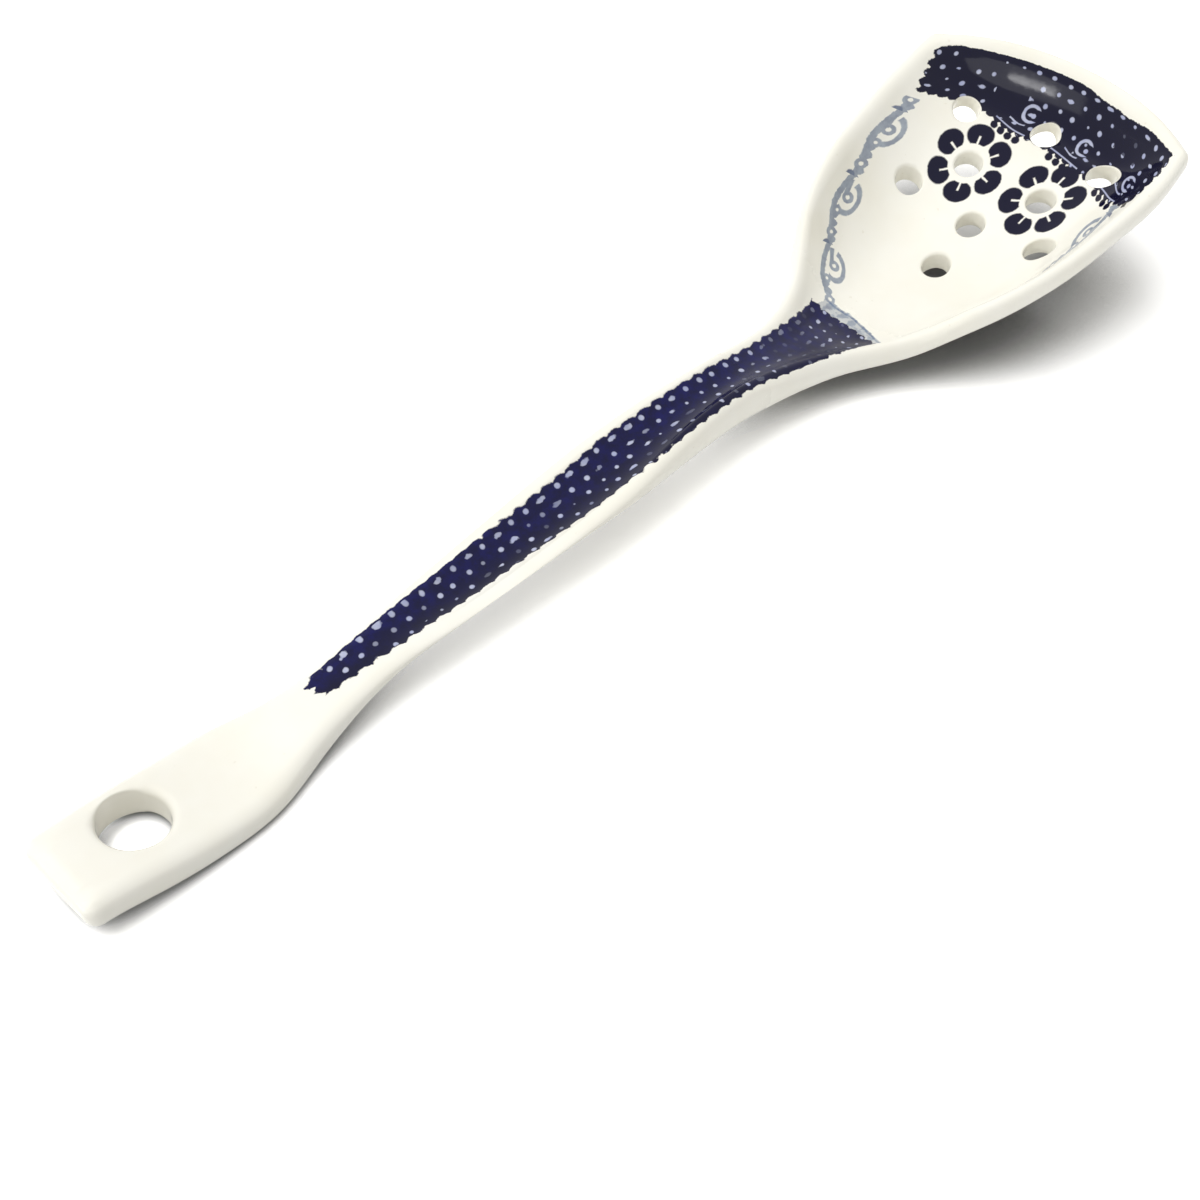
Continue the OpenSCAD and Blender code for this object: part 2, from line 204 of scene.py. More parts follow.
def under_point(x, v):
    return surface(x, v, middle_under, edge_under)


LINE_ROUNDS = 14


def line_of(x, y):
    """The line, and the share across on it, that passes over plan place (x, y)."""
    s = np.clip(x, FIRST_X, LAST_X)
    for _ in range(LINE_ROUNDS):
        v = np.clip(y / inner_half(s), -1, 1)
        s = np.clip(x - bow(s) * (1 - v**2), FIRST_X, LAST_X)
    return s, np.clip(y / inner_half(s), -1, 1)


# One closed skin
def spaced(a, b, step):
    return np.linspace(a, b, max(2, int(round((b - a) / step))) + 1)


HANDLE_STEP, BOWL_STEP = 1.0, 0.8
lines = np.concatenate([spaced(FIRST_X, WAIST_X, HANDLE_STEP)[:-1], spaced(WAIST_X, NECK_X, HANDLE_STEP)[:-1],
                        spaced(NECK_X, MOUTH_X, HANDLE_STEP)[:-1], spaced(MOUTH_X, LAST_X, BOWL_STEP)])
ACROSS = 96
CROWDING = 0.2  # how much closer the lengthwise lines lie towards the rims
t = np.linspace(-1, 1, ACROSS + 1)
shares = (1 - CROWDING) * t + CROWDING * np.sin(t * math.pi / 2)
NI, NJ = len(lines), len(shares)
gx, gv = np.meshgrid(lines, shares, indexing="ij")
top = top_point(gx, gv)
under = under_point(gx, gv)

# surface places for the decoration: across from the middle, in from the side edge, back from the front edge
step_across = np.linalg.norm(np.diff(top, axis=1), axis=2)
arc = np.concatenate([np.zeros((NI, 1)), np.cumsum(step_across, 1)], 1)
arc -= arc[:, [ACROSS // 2]]
side_in = np.where(gv > 0, arc[:, [-1]] - arc, arc - arc[:, [0]])
step_along = np.linalg.norm(np.diff(top, axis=0), axis=2)
along = np.concatenate([np.zeros((1, NJ)), np.cumsum(step_along, 0)], 0)
front_in = along[-1][None] - along


def table_at(table, s, v):
    """Bilinear reading of a grid table at side place s and share v."""
    i = np.clip(np.searchsorted(lines, s, side="right") - 1, 0, NI - 2)
    j = np.clip(np.searchsorted(shares, v, side="right") - 1, 0, NJ - 2)
    p = (s - lines[i]) / (lines[i + 1] - lines[i])
    q = (v - shares[j]) / (shares[j + 1] - shares[j])
    return ((1 - p) * (1 - q) * table[i, j] + p * (1 - q) * table[i + 1, j]
            + (1 - p) * q * table[i, j + 1] + p * q * table[i + 1, j + 1])


ROUND = 16  # steps of the rim's section
FAN = 8  # steps round each corner of the outline


def front_angle(v):
    """Heading of the front edge's outward side."""
    return np.arctan2(2 * FRONT_BOW * v, FRONT_W / 2)


def ring_columns():
    """Columns of the rounded edge, once round the spoon: line, place across, outward heading and radius."""
    cols = []
    last = NI - 1
    r_side = edge_y(lines)
    for i in range(NI):
        cols.append((i, NJ - 1, math.pi / 2, r_side[i]))

    def fan(i, j, a, b, r0, r1):
        for k in range(1, FAN):
            cols.append((i, j, a + (b - a) * k / FAN, r0 + (r1 - r0) * k / FAN))
    fan(last, NJ - 1, math.pi / 2, float(front_angle(1)), r_side[last], EDGE_R)
    for j in range(NJ - 1, -1, -1):
        cols.append((last, j, float(front_angle(shares[j])), EDGE_R))
    fan(last, 0, float(front_angle(-1)), -math.pi / 2, EDGE_R, r_side[last])
    for i in range(last, -1, -1):
        cols.append((i, 0, -math.pi / 2, r_side[i]))
    fan(0, 0, -math.pi / 2, -math.pi, r_side[0], EDGE_R)
    for j in range(NJ):
        cols.append((0, j, -math.pi, EDGE_R))
    fan(0, NJ - 1, -math.pi, -1.5 * math.pi, EDGE_R, r_side[0])
    return cols


columns = ring_columns()
col_i = np.array([c[0] for c in columns])
col_j = np.array([c[1] for c in columns])
outward = np.array([c[2] for c in columns])
col_r = np.array([c[3] for c in columns])
phi = np.linspace(math.pi / 2, -math.pi / 2, ROUND + 1)[1:-1]


def rounded(c):
    """A sine or cosine bent towards a fuller section."""
    return np.sign(c) * np.abs(c) ** EDGE_POWER


rim_top, rim_under = top[col_i, col_j][:, None], under[col_i, col_j][:, None]
edge = (rim_top + rim_under) / 2 + (rim_top - rim_under) / 2 * rounded(np.sin(phi))[None, :, None]
reach = col_r[:, None] * rounded(np.cos(phi))[None]
edge[..., 0] += np.cos(outward)[:, None] * reach
edge[..., 1] += np.sin(outward)[:, None] * reach

count = NI * NJ
verts = [top.reshape(-1, 3), under.reshape(-1, 3), edge.reshape(-1, 3)]
grid_index = np.arange(count).reshape(NI, NJ)
keep_top = np.ones((NI - 1, NJ - 1), bool)
keep_under = keep_top.copy()

# decoration places on the rim, which carry on from those on the top face
SIDEWAYS, FORWARD = 0.7, 0.3
edge_run = np.concatenate([np.linalg.norm(edge[:, :1] - rim_top, axis=2),
                           np.linalg.norm(np.diff(edge, axis=1), axis=2)], 1).cumsum(1)
at_side = np.abs(np.sin(outward)) > SIDEWAYS
edge_arc = arc[col_i, col_j][:, None] + np.where(at_side, np.sign(np.sin(outward)), 0)[:, None] * edge_run
edge_side = np.where(at_side[:, None], -edge_run, side_in[col_i, col_j][:, None] + 0 * edge_run)
at_front = np.cos(outward) > FORWARD
edge_front = np.where(at_front[:, None], -edge_run, front_in[col_i, col_j][:, None] + 0 * edge_run)
edge_face = np.clip(1.6 - edge_run / 2.2, 0, 1)  # 1 where the rim still belongs to the painted top


def places(s, a, f, d, face):
    """Rows of along, across, from the front, from the side and share of the top face."""
    return np.stack([np.broadcast_to(q, a.shape).ravel() for q in (s, a, f, d, face)], 1)


lay = [places(gx, arc, front_in, side_in, np.ones_like(arc)),
       places(gx, arc, front_in, side_in, np.zeros_like(arc)),
       places(lines[col_i][:, None] + 0 * edge_run, edge_arc, edge_front, edge_side, edge_face)]


# Holes, set into the grid with rounded lips
LIP_ROWS = 7
LIP_LEAST, LIP_ROOM = 0.3, 0.4  # smallest lip, and what stays free between the lip and the grid
WALL_SHARES = (0.25, 0.5, 0.75)
FACE_ROUNDS = 12
extra_quads = []
soften = []


def loop_of(chosen):
    """Grid places round a set of cells, in order, against the clock from above."""
    onward = {}
    for i, j in zip(*np.nonzero(chosen)):
        corners = [(i, j), (i + 1, j), (i + 1, j + 1), (i, j + 1)]
        for k in range(4):
            onward[(corners[k - 1], corners[k])] = True
    step = {a: b for a, b in onward if (b, a) not in onward}
    ring = [min(step)]
    while len(ring) < len(step):
        ring.append(step[ring[-1]])
    return np.array(ring)


def zipped(outer, outer_at, inner, inner_at):
    """Triangles between two loops that run the same way round, by plan places, each step the shorter way."""
    n, m = len(outer), len(inner)
    first = int(np.argmin(np.linalg.norm(outer_at - inner_at[0], axis=1)))
    outer, outer_at = np.roll(outer, -first), np.roll(outer_at, -first, axis=0)

    def area(p, q, r):
        return (q[0] - p[0]) * (r[1] - p[1]) - (q[1] - p[1]) * (r[0] - p[0])
    out, i, j = [], 0, 0
    while i < n or j < m:
        p, q = inner_at[j % m], outer_at[i % n]
        p_next, q_next = inner_at[(j + 1) % m], outer_at[(i + 1) % n]
        by_outer, by_inner = area(p, q, q_next), area(p, q, p_next)
        shorter = np.linalg.norm(q_next - p) <= np.linalg.norm(p_next - q)
        if min(by_outer, by_inner) <= 0:
            shorter = by_outer > by_inner
        if j == m or (i < n and shorter):
            out.append((inner[j % m], outer[i % n], outer[(i + 1) % n], outer[(i + 1) % n]))
            i += 1
        else:
            out.append((inner[j % m], outer[i % n], inner[(j + 1) % m], inner[(j + 1) % m]))
            j += 1
    return np.array(out)


def levelled(values, reach):
    """The lowest value near each place round a loop, smoothed over as many places."""
    turns = range(-reach, reach + 1)
    low = np.min([np.roll(values, k) for k in turns], axis=0)
    return np.mean([np.roll(low, k) for k in turns], axis=0)


def cut_hole(centre, axis, r, lip, reach_out, spokes, around):
    """Takes cells out of both faces and joins the faces by a wall round a straight hole with rounded lips.

    The cells go as far as reach_out past the lip. Lips smaller than around are evened out later."""
    start = sum(len(v) for v in verts)
    ww = np.cross(axis, [1.0, 0.0, 0.0])
    ww /= np.linalg.norm(ww)
    uu = np.cross(ww, axis)
    turn = np.arange(spokes) / spokes * 2 * math.pi
    spoke = np.cos(turn)[:, None] * uu + np.sin(turn)[:, None] * ww

    def on_face(radius, point):
        h = np.zeros(spokes)
        for _ in range(FACE_ROUNDS):
            p = centre + radius[:, None] * spoke + h[:, None] * axis
            s, v = line_of(p[:, 0], p[:, 1])
            h += (point(s, v)[:, 2] - p[:, 2]) * axis[2]
        return h

    def side(table, keep, point, sign):
        mid = (table[:-1, :-1] + table[1:, 1:]) / 2 - centre
        off = np.linalg.norm(mid - (mid @ axis)[..., None] * axis, axis=2)
        chosen = off < r + lip + reach_out
        keep[chosen] = False
        ring = loop_of(chosen)
        rel = table[ring[:, 0], ring[:, 1]] - centre
        angle = np.arctan2(rel @ ww, rel @ uu)
        room = np.interp(turn, angle, np.hypot(rel @ ww, rel @ uu), period=2 * math.pi)
        own = np.clip(levelled(room - r - LIP_ROOM, spokes // 24), LIP_LEAST, lip)
        rows = []
        for k in range(LIP_ROWS):
            b = k / (LIP_ROWS - 1) * math.pi / 2
            radius = r + own * (1 - math.sin(b))
            h = on_face(radius, point) - sign * own * (1 - math.cos(b))
            rows.append(centre + radius[:, None] * spoke + h[:, None] * axis)
        place = np.stack([rel @ uu, rel @ ww], 1)
        flat = np.stack([(rows[0] - centre) @ uu, (rows[0] - centre) @ ww], 1)
        return grid_index[ring[:, 0], ring[:, 1]], place, flat, rows, own
    top_loop, top_place, top_flat, up, up_lip = side(top, keep_top, top_point, 1)
    low_loop, low_place, low_flat, down, down_lip = side(under, keep_under, under_point, -1)
    walls = [up[-1] * (1 - w) + down[-1] * w for w in WALL_SHARES]
    rings = up + walls + down[::-1]
    face = [max(0.0, 1 - k / (LIP_ROWS - 2)) for k in range(len(rings))]
    ids = [start + k * spokes + np.arange(spokes) for k in range(len(rings))]
    for a, b in zip(ids[:-1], ids[1:]):
        extra_quads.append(np.stack([b, a, np.roll(a, -1), np.roll(b, -1)], 1))
    extra_quads.append(zipped(top_loop, top_place, ids[0], top_flat))
    extra_quads.append(zipped(low_loop + count, low_place, ids[-1], low_flat)[:, ::-1])
    pts = np.concatenate(rings)
    s, v = line_of(pts[:, 0], pts[:, 1])
    verts.append(pts)
    lay.append(places(s, table_at(arc, s, v), table_at(front_in, s, v), table_at(side_in, s, v),
                      np.repeat(face, spokes)))
    soften.append(np.tile(np.clip(1 - np.minimum(up_lip, down_lip) / around, 0, 1), len(rings)))


def grip_mid(x):
    """Height half way through the grip."""
    x = np.array([x])
    return float(edge_curve(x)[0] + middle_under_raw(x)[0]) / 2


hang_tilt = math.atan((grip_mid(HANG_X - HANG_R) - grip_mid(HANG_X + HANG_R)) / (2 * HANG_R))
cut_hole(np.array([HANG_X, HANG_Y, grip_mid(HANG_X)]), np.array([math.sin(hang_tilt), 0, math.cos(hang_tilt)]),
         HANG_R, lip=1.8, reach_out=0.9, spokes=120, around=1.3)
for share, y, lean in DRAINS:
    # the holes are punched towards the hand and to one side, the more so where the floor rises
    x, away = MOUTH_X + BOWL_LEN * share, math.sin(math.radians(lean)) * math.sqrt(0.5)
    s, v = line_of(np.array([x]), np.array([float(y)]))
    cut_hole(top_point(s, v)[0], np.array([-away, -away, math.cos(math.radians(lean))]),
             DRAIN_R, lip=0.75, reach_out=0.75, spokes=48, around=0.1)

co = np.concatenate(verts)
lay = np.concatenate(lay)


# Faces
def grid_quads(index, mask, flip):
    a, b, c, d = index[:-1, :-1], index[1:, :-1], index[1:, 1:], index[:-1, 1:]
    q = np.stack([a, b, c, d], -1)[mask]
    return q[:, ::-1] if flip else q


inner_rows = ROUND - 1
strip_top = grid_index[col_i, col_j]
strip = np.concatenate([strip_top[:, None], 2 * count + np.arange(len(columns))[:, None] * inner_rows
                        + np.arange(inner_rows)[None], strip_top[:, None] + count], 1)
nxt = np.roll(strip, -1, axis=0)
strip_quads = np.stack([strip[:, :-1], nxt[:, :-1], nxt[:, 1:], strip[:, 1:]], -1).reshape(-1, 4)
quads = np.concatenate([grid_quads(grid_index, keep_top, False), grid_quads(grid_index + count, keep_under, True)]
                       + [strip_quads] + extra_quads)


def relaxed(points, faces, weight, rounds):
    """Moves each point towards the mean of its neighbours, by its weight."""
    e = np.concatenate([faces[:, [0, 1]], faces[:, [1, 2]], faces[:, [2, 3]], faces[:, [3, 0]]])
    e = e[e[:, 0] != e[:, 1]]
    e = np.unique(np.sort(e, 1), axis=0)
    both = np.concatenate([e, e[:, ::-1]])
    n = np.bincount(both[:, 0], minlength=len(points))
    n = np.maximum(n, 1)
    for _ in range(rounds):
        mean = np.stack([np.bincount(both[:, 0], points[both[:, 1], k], len(points)) for k in range(3)], 1)
        points = points + weight[:, None] * 0.5 * (mean / n[:, None] - points)
    return points


# The seams between the faces and the rim are rounded over, and so are the smallest lips
SEAM_ROUNDS, NECK_ROUNDS = 30, 130
SEAM_POWER, LIP_SHARE = 0.6, 0.6
SEAM_STATIONS = ([180, 198, 224, 238], [3.0, 4.6, 4.8, 3.2])
NECK_STATIONS = ([180, 194, 224, 236], [0, 1, 1, 0])
FAR = 99.0
NECK_MID, NECK_REACH = NECK_X + NECK_LEN * 0.6, 34
FRONT_REACH, FRONT_RUN = 14, 24


def seam_reach(x):
    """How far the rounding of the rim runs in, which is more beside the neck's steep hollow."""
    return np.interp(x, *SEAM_STATIONS)


seam_near = np.zeros(len(co))
from_rim = np.minimum(side_in, np.where(gx > MOUTH_X, front_in, FAR))
seam_near[:count] = np.clip(1 - from_rim / seam_reach(gx), 0, 1).ravel()
edge_weight = np.clip(1 - edge_run / seam_reach(lines[col_i])[:, None], 0, 1)
seam_near[2 * count:2 * count + edge_weight.size] = edge_weight.ravel()
seam_near[2 * count + edge_weight.size:] = LIP_SHARE * np.concatenate(soften)
co = relaxed(co, quads, seam_near**SEAM_POWER, SEAM_ROUNDS)
about_neck = np.interp(co[:, 0], *NECK_STATIONS)
neck_faces = quads[np.abs(co[quads[:, 0], 0] - NECK_MID) < NECK_REACH]
co = relaxed(co, neck_faces, about_neck * seam_near**SEAM_POWER, NECK_ROUNDS)
# the rounding lowers the front edge a little, so the front is stretched up to its full height again
front_near = np.clip((co[:, 0] - LAST_X + FRONT_REACH) / FRONT_RUN, 0, 1)
co[:, 2] *= 1 + (FRONT_TOP / co[:, 2].max() - 1) * front_near**2 * (3 - 2 * front_near)
co[:, 2] = np.maximum(co[:, 2], 0)


def cleaned(points, faces, table):
    """Drops the points that no face uses, and turns the quads with a repeated corner into triangles."""
    used = np.zeros(len(points), bool)
    used[faces.ravel()] = True
    new = np.cumsum(used) - 1
    out = []
    for q in new[faces].tolist():
        f = [q[k] for k in range(4) if q[k] != q[k - 1]]
        if len(f) > 2:
            out.append(f)
    return points[used], out, table[used]


co, faces, lay = cleaned(co, quads, lay)


# Pieces
def add(name, data):
    """A new object in the scene."""
    thing = bpy.data.objects.new(name, data)
    bpy.context.scene.collection.objects.link(thing)
    return thing


def make_mesh(name, points, polygons):
    mesh = bpy.data.meshes.new(name)
    mesh.from_pydata([tuple(p) for p in points.tolist()], [], polygons)
    mesh.update()
    return mesh


metres = (co - np.array([ORIGIN_X, 0, 0])) * MM
whole = make_mesh("whole", metres, faces)
UPPER_Z = 0.012  # metres
# the faces look outwards if the high ones look up on the whole
if sum(p.area * p.normal.z for p in whole.polygons if p.center.z > UPPER_Z) < 0:
    faces = [f[::-1] for f in faces]
    bpy.data.meshes.remove(whole)
    whole = make_mesh("whole", metres, faces)
normals = np.zeros(len(co) * 3, np.float32)
whole.vertices.foreach_get("normal", normals)
normals = normals.reshape(-1, 3)
# paint edges of the handle's band: place along the spoon, place across from the middle
BAND_LEFT = [(56, 3.6), (61, 3.9), (71, 5.0), (87, 5.8), (105, 6.5), (125, 6.6), (146, 6.8), (157, 5.8),
             (172, 5.0), (186, 4.6), (195, 5.2), (202, 6.2), (210, 7.6), (222, 11.2), (232, 16)]
BAND_RIGHT = [(56, -1.0), (62, -1.3), (67, -1.7), (79, -3.0), (95, -3.4), (107, -3.7), (117, -4.7), (133, -6.4),
              (152, -7.6), (165, -7.8), (183, -7.7), (194, -7.9), (200, -8.0), (206, -8.8), (215, -11.2),
              (232, -17.4)]
extra = np.stack([lay[:, 3], lay[:, 4], np.interp(lay[:, 0], *np.array(BAND_LEFT, float).T)], 1)
centres = np.array([np.mean(metres[f], 0)[0] for f in faces]) / MM + ORIGIN_X
splits = {"grip": centres < WAIST_X, "shank": (centres >= WAIST_X) & (centres < NECK_X),
          "neck": (centres >= NECK_X) & (centres < MOUTH_X), "bowl": centres >= MOUTH_X}
pieces = {}
for name, chosen in splits.items():
    own = [faces[k] for k in np.nonzero(chosen)[0]]
    ids = np.unique(np.concatenate([np.array(f) for f in own]))
    new = np.zeros(len(co), int)
    new[ids] = np.arange(len(ids))
    mesh = make_mesh("glazed_" + name, metres[ids], [[int(new[k]) for k in f] for f in own])
    for p in mesh.polygons:
        p.use_smooth = True
    mesh.normals_split_custom_set_from_vertices([tuple(v) for v in normals[ids].tolist()])
    for label, values in (("lay", lay[ids][:, :3]), ("lay2", extra[ids])):
        attribute = mesh.attributes.new(label, "FLOAT_VECTOR", "POINT")
        attribute.data.foreach_set("vector", values.astype(np.float32).ravel())
    piece = add("glazed_" + name, mesh)
    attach(piece, "root")
    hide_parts(name)
    pieces[name] = piece
bpy.data.meshes.remove(whole)


# Node helpers. They add nodes to the tree that is current, in the global name tree.
class Val:
    """A number in the node tree. Arithmetic on it adds Math nodes."""

    def __init__(self, socket):
        self.socket = socket

    def __add__(self, o):
        return calc("ADD", self, o)

    __radd__ = __add__

    def __sub__(self, o):
        return calc("SUBTRACT", self, o)

    def __rsub__(self, o):
        return calc("SUBTRACT", o, self)

    def __mul__(self, o):
        return calc("MULTIPLY", self, o)

    __rmul__ = __mul__

    def __truediv__(self, o):
        return calc("DIVIDE", self, o)


def node(kind, **settings):
    n = tree.nodes.new(kind)
    for key, value in settings.items():
        setattr(n, key, value)
    return n


def plug(socket, value):
    if isinstance(value, Val):
        tree.links.new(value.socket, socket)
    elif isinstance(value, bpy.types.NodeSocket):
        tree.links.new(value, socket)
    else:
        socket.default_value = value


def calc(operation, *values):
    n = node("ShaderNodeMath", operation=operation)
    for k, value in enumerate(values):
        plug(n.inputs[k], value)
    return Val(n.outputs[0])


def squared(value):
    return value * value


def absolute(value):
    return calc("ABSOLUTE", value)


def floored(value):
    return calc("FLOOR", value)


def wrapped(value, period):
    return calc("FLOORED_MODULO", value, period)


def length(x, y):
    return calc("SQRT", squared(x) + squared(y))


def lowest(*values):
    out = values[0]
    for v in values[1:]:
        out = calc("MINIMUM", out, v)
    return out


def highest(*values):
    out = values[0]
    for v in values[1:]:
        out = calc("MAXIMUM", out, v)
    return out


def ramp(value, a, b):
    """0 below a, 1 above b, smooth between."""
    n = node("ShaderNodeMapRange", interpolation_type="SMOOTHSTEP")
    plug(n.inputs["Value"], value)
    plug(n.inputs["From Min"], a)
    plug(n.inputs["From Max"], b)
    return Val(n.outputs["Result"])


def joined(x, y, z):
    n = node("ShaderNodeCombineXYZ")
    for k, value in enumerate((x, y, z)):
        plug(n.inputs[k], value)
    return n.outputs[0]


def parts(vector):
    n = node("ShaderNodeSeparateXYZ")
    plug(n.inputs[0], vector)
    return [Val(o) for o in n.outputs]


def noise(vector, scale, detail, rough, seed):
    n = node("ShaderNodeTexNoise", noise_dimensions="4D")
    plug(n.inputs["Vector"], vector)
    n.inputs["Scale"].default_value = scale
    n.inputs["Detail"].default_value = detail
    n.inputs["Roughness"].default_value = rough
    n.inputs["W"].default_value = seed
    return Val(n.outputs["Fac"])


def chance(x, y, seed):
    n = node("ShaderNodeTexWhiteNoise", noise_dimensions="3D")
    plug(n.inputs["Vector"], joined(x, y, seed))
    return Val(n.outputs["Value"])


def mixed(fac, a, b):
    n = node("ShaderNodeMix", data_type="RGBA")
    plug(n.inputs["Factor"], fac)
    for socket, value in ((n.inputs[6], a), (n.inputs[7], b)):
        if isinstance(value, tuple):
            socket.default_value = (*value, 1.0)
        else:
            tree.links.new(value, socket)
    return n.outputs[2]


def linear(r, g, b):
    """An 8-bit sRGB colour as Blender's linear one."""
    return tuple(((c / 255 + 0.055) / 1.055) ** 2.4 if c > 10 else c / 255 / 12.92 for c in (r, g, b))


def attribute_parts(name):
    n = node("ShaderNodeAttribute", attribute_type="GEOMETRY", attribute_name=name)
    return parts(n.outputs["Vector"])


def mirror_wave(value, period):
    """Rounded lobes from 0 to 1, one each period."""
    return absolute(calc("SINE", value * (math.pi / period)))


def cells_of(x, y, pitch_x, pitch_y):
    """Staggered cells: the place along in cells, then the numbers of the cell and of its row."""
    row = floored(y / pitch_y)
    cells = x / pitch_x + wrapped(row, 2.0) * 0.5
    return cells, floored(cells), row


def dots(x, y, pitch_x, pitch_y, radius, spread, seed, wobble):
    """Staggered round dots of varied size, some of them smeared; above zero inside a dot, in mm."""
    cells, cell, row = cells_of(x, y, pitch_x, pitch_y)
    shrink = chance(cell, row, seed)
    shift_x = (chance(cell, row, seed + 3.3) - 0.5) * 0.2
    shift_y = (chance(cell, row, seed + 7.7) - 0.5) * 0.16
    smeared = ramp(chance(cell, row, seed + 5.1), 0.74, 0.76)
    dx = (cells - cell - 0.5 + shift_x) * pitch_x * (1.0 - 0.38 * smeared)
    dy = (y / pitch_y - row - 0.5 + shift_y) * pitch_y * (1.0 + 0.25 * smeared)
    return radius - spread * squared(shrink) - length(dx, dy) + wobble * (0.3 + 0.9 * smeared)


def curve_of(x, stations):
    """A line of straight lengths through stations, as a float curve node."""
    (x0, _), (x1, _) = stations[0], stations[-1]
    y0, y1 = min(y for _, y in stations), max(y for _, y in stations)
    n = node("ShaderNodeFloatCurve")
    points = n.mapping.curves[0].points
    while len(points) < len(stations):
        points.new(0.5, 0.5)
    for point, (px, py) in zip(points, stations):
        point.location = ((px - x0) / (x1 - x0), (py - y0) / (y1 - y0))
        point.handle_type = "VECTOR"
    n.mapping.update()
    plug(n.inputs["Value"], (x - x0) / (x1 - x0))
    return Val(n.outputs["Value"]) * (y1 - y0) + y0


# Glazed stoneware with cobalt decoration. Places in it are in millimetres on the surface: s_mm along the spoon,
# a_mm across from the middle, f_mm back from the front edge and d_mm in from the side edge. A painted shape is a
# value that is above zero inside it: lowest() cuts shapes with each other and highest() puts them together.

# colours, in 8-bit sRGB; the deepest cobalt also serves as painted shade on the handle's band
CREAM, CREAM_PATCH, SPECK = (250, 248, 238), (247, 244, 231), (206, 196, 170)
COBALT, COBALT_BRIGHT, COBALT_DEEP_AND_SHADED = (4, 4, 56), (9, 9, 82), (5, 4, 38)
DOT_PALE, DOT_BLUE = (196, 200, 220), (164, 170, 204)
SLATE, SLATE_PALE, SLATE_KNOT = (104, 119, 145), (140, 154, 172), (88, 98, 128)
PAINT_EDGE, STAMP_EDGE = 0.17, 0.14  # half the width over which paint fades out

material = bpy.data.materials.new("glazed_stoneware")
material.use_nodes = True
tree = material.node_tree
tree.nodes.clear()
place = node("ShaderNodeTexCoord").outputs["Object"]
s_mm, a_mm, f_mm = attribute_parts("lay")
d_mm, face_share, band_left = attribute_parts("lay2")
object_x, object_y, _ = parts(place)
plan_x, plan_y = object_x * (1 / MM) + ORIGIN_X, object_y * (1 / MM)

# unevenness of brush and sponge, about zero, from wide to fine
blot = noise(place, 300.0, 1.0, 0.5, 5.0) - 0.5
coarse = noise(place, 420.0, 1.0, 0.5, 3.0) - 0.5
ragged = noise(place, 800.0, 2.0, 0.7, 1.0) - 0.5
smear = noise(place, 900.0, 1.0, 0.5, 7.0) - 0.5


def shown(value, soft=PAINT_EDGE):
    """How much of a painted shape shows, from 0 to 1."""
    return ramp(value, -soft, soft)


def round_at(x, y, cx, cy, r):
    return r - length(x - cx, y - cy)


def stroke_at(x, y, cx, cy, r, half, stretch=1.0):
    """A ring of radius r, half as wide again on both sides."""
    return half - absolute(length((x - cx) / stretch, y - cy) - r)


# Band on the handle: width is the distance in from its far edge
BAND_START, BAND_END, BAND_DOTS_START = 61.4, 224.3, 65.0
width = band_left - a_mm
near_edge = curve_of(s_mm, BAND_RIGHT)
bites = mirror_wave(s_mm + 1.7 + 0.35 * a_mm, 3.9) * (1.0 - 0.6 * ramp(s_mm, 188.0, 204.0))
band = lowest(
    width + mirror_wave(s_mm + 2.6 * coarse, 4.1) * 0.5 - 0.25 + ragged * 0.9,
    a_mm - near_edge + 0.3 - bites * (0.75 + coarse) + ragged * 1.1,
    s_mm - BAND_START - 0.35 * width + mirror_wave(a_mm + 0.4, 2.5) * 1.1 + ragged * 1.6,
    BAND_END - s_mm - 0.0135 * squared(a_mm - 3.0) + mirror_wave(a_mm, 2.9) * 0.9 + ragged * 1.8)

# its dots, which are smaller, less even and fainter towards the near edge, and worn at the neck
DOT_PITCH, DOT_ROW, ROWS_DOWN = 4.3, 3.0, 2.0
dots_in = width + 0.05
_, dot_cell, dot_row = cells_of(s_mm, dots_in, DOT_PITCH, DOT_ROW)
below = calc("MINIMUM", dot_row, ROWS_DOWN)
band_dots = lowest(
    dots(s_mm, dots_in, DOT_PITCH, DOT_ROW, 0.66 - 0.04 * below, 0.1 + 0.16 * below, 2.0, smear + blot * 0.4),
    s_mm - BAND_DOTS_START)
faint = ramp(chance(dot_cell, dot_row, 12.0), 0.5, 0.75) * (0.15 + 0.34 * below)
worn = ramp(s_mm, 190.0, 198.0) * highest(ramp(s_mm, 214.0, 208.0), 1.0 - below)
dot_fade = (1.0 - faint) * (1.0 - worn * (0.55 + 0.4 * chance(dot_cell, dot_row, 15.0)))

# Band along the front of the bowl
FRONT_PITCH, FRONT_ROW, FRONT_END = 4.4, 3.5, 262.0
inner_line = 17.6 + 4.4 * ramp(a_mm, 22.0, 6.0) + 0.9 * ramp(a_mm, 2.0, -14.0) - 2.2 * ramp(a_mm, -27.0, -37.0)
outer_line = 2.1 + 1.7 * ramp(absolute(a_mm + 15.0), 13.0, 3.0) + 1.2 * ramp(a_mm, 30.0, 36.0)
side_line = (2.3 + 0.27 * f_mm) * (0.45 + 0.55 * ramp(a_mm, -1.0, 1.0))
front = lowest(inner_line - f_mm + mirror_wave(a_mm + 0.6, 2.5) * 0.8 - 0.4 + ragged * 1.4,
               f_mm - outer_line + ragged * 1.6,
               d_mm - side_line + mirror_wave(f_mm, 3.2) * 0.9 + ragged * 1.8,
               s_mm - FRONT_END)
front_dots = dots(a_mm, f_mm + 0.5, FRONT_PITCH, FRONT_ROW, 0.67, 0.36, 9.0, smear * 0.7 + blot * 0.4)
front_keep = ramp(chance(floored(a_mm / 9.0), floored(f_mm / 6.0), 6.0), 0.2, 0.35)

